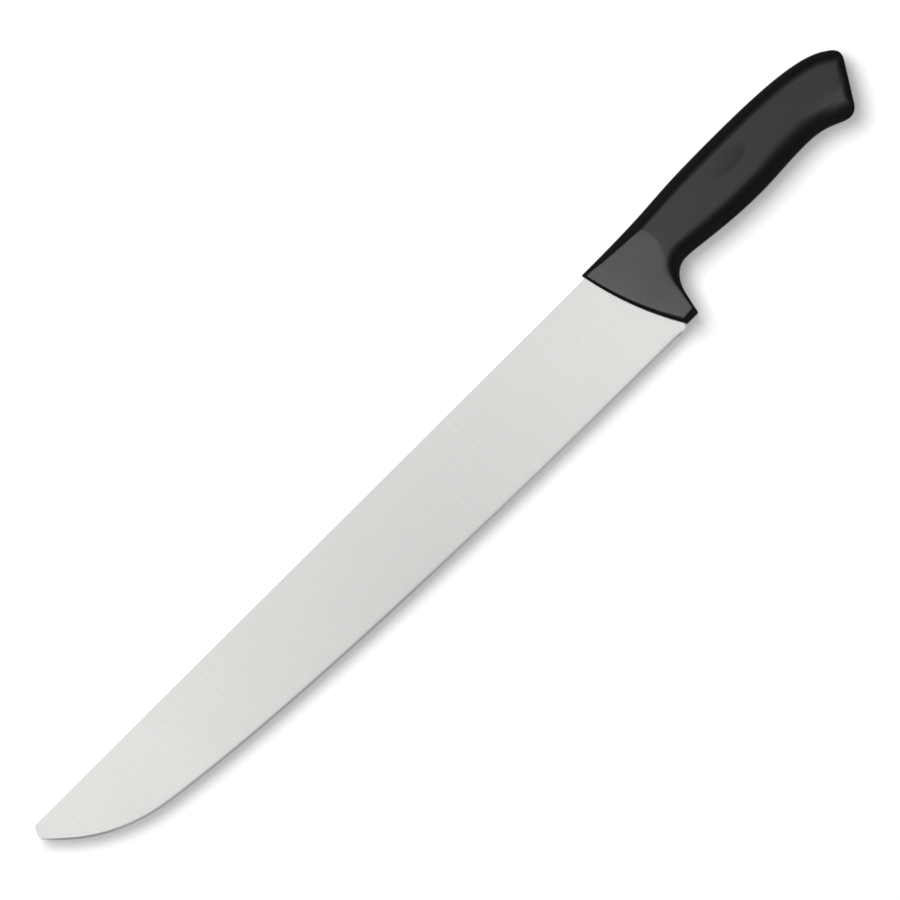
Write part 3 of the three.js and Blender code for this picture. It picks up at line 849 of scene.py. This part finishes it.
def buildSky():
    world = bpy.data.worlds.new("studio")
    bpy.context.scene.world = world
    world.use_nodes = True
    tree = world.node_tree
    toward = addNode(tree, "ShaderNodeTexCoord").outputs["Generated"]
    total = sky["low"]
    for leanX, leanY, wide, strength in sky["lobes"]:
        x, y = math.tan(math.radians(leanX)), math.tan(math.radians(leanY))
        facing = addNode(tree, "ShaderNodeVectorMath", [(0, toward)], operation="DOT_PRODUCT")
        facing.inputs[1].default_value = Vector((x, y, 1)).normalized()
        sharp = math.log(2) / (1 - math.cos(math.radians(wide)))
        fall = mathOf(tree, "MULTIPLY", mathOf(tree, "SUBTRACT", facing.outputs["Value"], 1), sharp)
        glow = mathOf(tree, "MULTIPLY", mathOf(tree, "EXPONENT", fall, 0), strength)
        total = mathOf(tree, "ADD", glow, total)
    tree.links.new(total, tree.nodes["Background"].inputs["Strength"])
    tree.nodes["Background"].inputs["Color"].default_value = (1, 1, 1, 1)


keyLight = dict(lean=27, away=2.2, size=1.4, power=47)


def buildKey():
    light = bpy.data.lights.new("key", "AREA")
    light.size = keyLight["size"]
    light.energy = keyLight["power"]
    key = addObject("key", light)
    lean = math.radians(keyLight["lean"])
    key.location = (0, keyLight["away"] * math.sin(lean), keyLight["away"] * math.cos(lean))
    key.rotation_euler = (-lean, 0, 0)
    key.visible_glossy = False


walls = dict(sides=8, away=5, high=7, glow=0.6)


# pale walls for the steel to reflect when it is seen from the side
def buildWalls(pieces):
    shown = bpy.data.collections.new("shown the walls")
    for piece in pieces:
        shown.objects.link(piece)
    wide = 2 * walls["away"] * math.tan(math.pi / walls["sides"])
    for i in range(walls["sides"]):
        light = bpy.data.lights.new("wall", "AREA")
        light.shape = "RECTANGLE"
        light.size, light.size_y = wide, walls["high"]
        light.energy = walls["glow"] * math.pi * wide * walls["high"]
        wall = addObject("wall", light)
        a = 2 * math.pi * i / walls["sides"]
        wall.location = (-walls["away"] * math.sin(a), walls["away"] * math.cos(a), walls["high"] / 2)
        wall.rotation_euler = (-math.pi / 2, 0, a)
        wall.visible_camera = False
        wall.light_linking.receiver_collection = shown


shot = dict(lens=600, sensor=36, frameWide=393.3, aim=(-94.67, -11.555), turn=-44.864, farEnd=50)


def buildCamera():
    camera = bpy.data.cameras.new("camera")
    camera.lens = shot["lens"]
    camera.sensor_width = shot["sensor"]
    camera.clip_end = shot["farEnd"]
    eye = addObject("camera", camera)
    eye.location = inFrame((*shot["aim"], shot["frameWide"] * shot["lens"] / shot["sensor"])).tolist()
    eye.rotation_euler = (0, 0, math.radians(shot["turn"]))
    bpy.context.scene.camera = eye


steelLook, plasticLook = steelMaterial(), plasticMaterial()
steelPieces = [buildBlade(), buildTang()]
for piece in steelPieces:
    piece.data.materials.append(steelLook)
buildHandle().data.materials.append(plasticLook)
print("pieces and materials done")

buildFloor()
buildSky()
buildKey()
buildWalls(steelPieces)
buildCamera()
bpy.context.scene.view_settings.view_transform = "Standard"
print("studio set")
